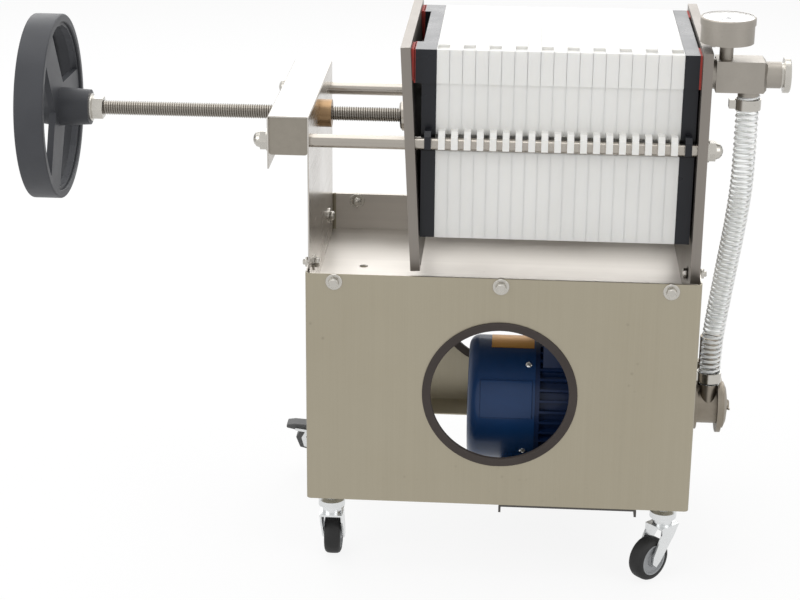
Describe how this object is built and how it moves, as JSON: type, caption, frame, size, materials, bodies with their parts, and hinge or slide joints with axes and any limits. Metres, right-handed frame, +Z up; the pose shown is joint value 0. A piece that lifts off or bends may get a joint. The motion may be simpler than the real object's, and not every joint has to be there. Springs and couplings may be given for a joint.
{
  "type": "plate filter press",
  "caption": "Plate and frame filter press on a caster cabinet, closed by a handwheel screw and fed by a motor pump through a clear hose.",
  "frame": {"origin": "on the floor, below the centre of the machine's box, hose left out", "axes": "+X along the tie rods from the handwheel to the pump, +Y to the back, +Z up"},
  "size_m": [0.799, 0.3034, 0.613],
  "materials": {
    "stainless": "brushed",
    "bright_steel": "polished",
    "black_rubber": "matt",
    "bronze": "machined",
    "black_plastic": "satin",
    "red_rubber": "matt",
    "gauge_case": "satin",
    "clear_hose": "clear",
    "blue_paint": "gloss",
    "cast_metal": "cast",
    "dark_plastic": "satin",
    "white_plastic": "satin",
    "zinc": "plated",
    "caster_rubber": "matt"
  },
  "bodies": {
    "cabinet": {"front_panel": "stainless", "back_panel": "stainless", "deck_tray": "stainless", "window_trims": "black_rubber", "motor_plate": "stainless", "end_upright": "stainless", "beam_tube": "stainless", "fixed_plate": "stainless", "tie_rods": "bright_steel", "rod_cap_nuts": "bright_steel", "drive_nut": "bronze", "tail_end_plate": "black_plastic", "tail_seals": "red_rubber", "inlet_manifold": "stainless", "inlet_cap": "stainless", "pressure_gauge": "gauge_case", "outlet_fitting": "stainless", "feed_hose": "clear_hose", "hose_clamps": "bright_steel", "motor_housing": "blue_paint", "fan_cover": "blue_paint", "pump_bracket": "cast_metal", "pump_body": "bronze", "pump_cover": "bronze"},
    "press_head": {"pressure_plate": "stainless", "thrust_boss": "bright_steel", "head_end_plate": "black_plastic", "head_seals": "red_rubber"},
    "screw": {"feed_screw": "bright_steel", "screw_lock_nut": "bright_steel", "handwheel": "dark_plastic"},
    "plate_01": {"filter_plate_01": "white_plastic"},
    "plate_02": {"filter_plate_02": "white_plastic"},
    "plate_03": {"filter_plate_03": "white_plastic"},
    "plate_04": {"filter_plate_04": "white_plastic"},
    "plate_05": {"filter_plate_05": "white_plastic"},
    "plate_06": {"filter_plate_06": "white_plastic"},
    "plate_07": {"filter_plate_07": "white_plastic"},
    "plate_08": {"filter_plate_08": "white_plastic"},
    "plate_09": {"filter_plate_09": "white_plastic"},
    "plate_10": {"filter_plate_10": "white_plastic"},
    "plate_11": {"filter_plate_11": "white_plastic"},
    "plate_12": {"filter_plate_12": "white_plastic"},
    "plate_13": {"filter_plate_13": "white_plastic"},
    "plate_14": {"filter_plate_14": "white_plastic"},
    "plate_15": {"filter_plate_15": "white_plastic"},
    "plate_16": {"filter_plate_16": "white_plastic"},
    "plate_17": {"filter_plate_17": "white_plastic"},
    "plate_18": {"filter_plate_18": "white_plastic"},
    "plate_19": {"filter_plate_19": "white_plastic"},
    "caster_front_left": {"caster_fork_front_left": "zinc"},
    "wheel_front_left": {"caster_wheel_front_left": "caster_rubber"},
    "caster_front_right": {"caster_fork_front_right": "zinc"},
    "wheel_front_right": {"caster_wheel_front_right": "caster_rubber"},
    "caster_rear_left": {"caster_fork_rear_left": "zinc"},
    "wheel_rear_left": {"caster_wheel_rear_left": "caster_rubber"},
    "caster_rear_right": {"caster_fork_rear_right": "zinc"},
    "wheel_rear_right": {"caster_wheel_rear_right": "caster_rubber"}
  },
  "joints": [
    {"name": "press_slide", "type": "slide", "parent": "cabinet", "child": "press_head", "axis": [1, 0, 0], "range_m": [-0.0601, 0.0001]},
    {"name": "screw_turn", "type": "hinge", "parent": "press_head", "child": "screw", "pos_m": [-0.2845, 0, 0.478], "axis": [1, 0, 0], "range_deg": [-8640, 0]},
    {"name": "plate_01_slide", "type": "slide", "parent": "cabinet", "child": "plate_01", "axis": [1, 0, 0], "range_m": [-0.0031, 0.0001]},
    {"name": "plate_02_slide", "type": "slide", "parent": "cabinet", "child": "plate_02", "axis": [1, 0, 0], "range_m": [-0.0061, 0.0001]},
    {"name": "plate_03_slide", "type": "slide", "parent": "cabinet", "child": "plate_03", "axis": [1, 0, 0], "range_m": [-0.0091, 0.0001]},
    {"name": "plate_04_slide", "type": "slide", "parent": "cabinet", "child": "plate_04", "axis": [1, 0, 0], "range_m": [-0.0121, 0.0001]},
    {"name": "plate_05_slide", "type": "slide", "parent": "cabinet", "child": "plate_05", "axis": [1, 0, 0], "range_m": [-0.0151, 0.0001]},
    {"name": "plate_06_slide", "type": "slide", "parent": "cabinet", "child": "plate_06", "axis": [1, 0, 0], "range_m": [-0.0181, 0.0001]},
    {"name": "plate_07_slide", "type": "slide", "parent": "cabinet", "child": "plate_07", "axis": [1, 0, 0], "range_m": [-0.0211, 0.0001]},
    {"name": "plate_08_slide", "type": "slide", "parent": "cabinet", "child": "plate_08", "axis": [1, 0, 0], "range_m": [-0.0241, 0.0001]},
    {"name": "plate_09_slide", "type": "slide", "parent": "cabinet", "child": "plate_09", "axis": [1, 0, 0], "range_m": [-0.0271, 0.0001]},
    {"name": "plate_10_slide", "type": "slide", "parent": "cabinet", "child": "plate_10", "axis": [1, 0, 0], "range_m": [-0.0301, 0.0001]},
    {"name": "plate_11_slide", "type": "slide", "parent": "cabinet", "child": "plate_11", "axis": [1, 0, 0], "range_m": [-0.0331, 0.0001]},
    {"name": "plate_12_slide", "type": "slide", "parent": "cabinet", "child": "plate_12", "axis": [1, 0, 0], "range_m": [-0.0361, 0.0001]},
    {"name": "plate_13_slide", "type": "slide", "parent": "cabinet", "child": "plate_13", "axis": [1, 0, 0], "range_m": [-0.0391, 0.0001]},
    {"name": "plate_14_slide", "type": "slide", "parent": "cabinet", "child": "plate_14", "axis": [1, 0, 0], "range_m": [-0.0421, 0.0001]},
    {"name": "plate_15_slide", "type": "slide", "parent": "cabinet", "child": "plate_15", "axis": [1, 0, 0], "range_m": [-0.0451, 0.0001]},
    {"name": "plate_16_slide", "type": "slide", "parent": "cabinet", "child": "plate_16", "axis": [1, 0, 0], "range_m": [-0.0481, 0.0001]},
    {"name": "plate_17_slide", "type": "slide", "parent": "cabinet", "child": "plate_17", "axis": [1, 0, 0], "range_m": [-0.0511, 0.0001]},
    {"name": "plate_18_slide", "type": "slide", "parent": "cabinet", "child": "plate_18", "axis": [1, 0, 0], "range_m": [-0.0541, 0.0001]},
    {"name": "plate_19_slide", "type": "slide", "parent": "cabinet", "child": "plate_19", "axis": [1, 0, 0], "range_m": [-0.0571, 0.0001]},
    {"name": "caster_swivel_front_left", "type": "hinge", "parent": "cabinet", "child": "caster_front_left", "pos_m": [-0.065, -0.117, 0.06], "axis": [0, 0, 1], "continuous": true},
    {"name": "caster_roll_front_left", "type": "hinge", "parent": "caster_front_left", "child": "wheel_front_left", "pos_m": [-0.065, -0.097, 0.024], "axis": [1, 0, 0], "continuous": true},
    {"name": "caster_swivel_front_right", "type": "hinge", "parent": "cabinet", "child": "caster_front_right", "pos_m": [0.296, -0.117, 0.06], "axis": [0, 0, 1], "continuous": true},
    {"name": "caster_roll_front_right", "type": "hinge", "parent": "caster_front_right", "child": "wheel_front_right", "pos_m": [0.28186, -0.13114, 0.024], "axis": [-0.7071, 0.7071, 0], "continuous": true},
    {"name": "caster_swivel_rear_left", "type": "hinge", "parent": "cabinet", "child": "caster_rear_left", "pos_m": [-0.065, 0.117, 0.06], "axis": [0, 0, 1], "continuous": true},
    {"name": "caster_roll_rear_left", "type": "hinge", "parent": "caster_rear_left", "child": "wheel_rear_left", "pos_m": [-0.085, 0.117, 0.024], "axis": [0, 1, 0], "continuous": true},
    {"name": "caster_swivel_rear_right", "type": "hinge", "parent": "cabinet", "child": "caster_rear_right", "pos_m": [0.296, 0.117, 0.06], "axis": [0, 0, 1], "continuous": true},
    {"name": "caster_roll_rear_right", "type": "hinge", "parent": "caster_rear_right", "child": "wheel_rear_right", "pos_m": [0.27721, 0.12384, 0.024], "axis": [0.342, 0.9397, 0], "continuous": true}
  ],
  "couplings": [
    {"joint": "press_slide", "follows": "screw_turn", "m_per_rad": 0.00039789},
    {"joint": "plate_01_slide", "follows": "screw_turn", "m_per_rad": 0.000019894},
    {"joint": "plate_02_slide", "follows": "screw_turn", "m_per_rad": 0.000039789},
    {"joint": "plate_03_slide", "follows": "screw_turn", "m_per_rad": 0.000059683},
    {"joint": "plate_04_slide", "follows": "screw_turn", "m_per_rad": 0.000079577},
    {"joint": "plate_05_slide", "follows": "screw_turn", "m_per_rad": 0.000099472},
    {"joint": "plate_06_slide", "follows": "screw_turn", "m_per_rad": 0.00011937},
    {"joint": "plate_07_slide", "follows": "screw_turn", "m_per_rad": 0.00013926},
    {"joint": "plate_08_slide", "follows": "screw_turn", "m_per_rad": 0.00015915},
    {"joint": "plate_09_slide", "follows": "screw_turn", "m_per_rad": 0.00017905},
    {"joint": "plate_10_slide", "follows": "screw_turn", "m_per_rad": 0.00019894},
    {"joint": "plate_11_slide", "follows": "screw_turn", "m_per_rad": 0.00021884},
    {"joint": "plate_12_slide", "follows": "screw_turn", "m_per_rad": 0.00023873},
    {"joint": "plate_13_slide", "follows": "screw_turn", "m_per_rad": 0.00025863},
    {"joint": "plate_14_slide", "follows": "screw_turn", "m_per_rad": 0.00027852},
    {"joint": "plate_15_slide", "follows": "screw_turn", "m_per_rad": 0.00029842},
    {"joint": "plate_16_slide", "follows": "screw_turn", "m_per_rad": 0.00031831},
    {"joint": "plate_17_slide", "follows": "screw_turn", "m_per_rad": 0.0003382},
    {"joint": "plate_18_slide", "follows": "screw_turn", "m_per_rad": 0.0003581},
    {"joint": "plate_19_slide", "follows": "screw_turn", "m_per_rad": 0.00037799}
  ]
}
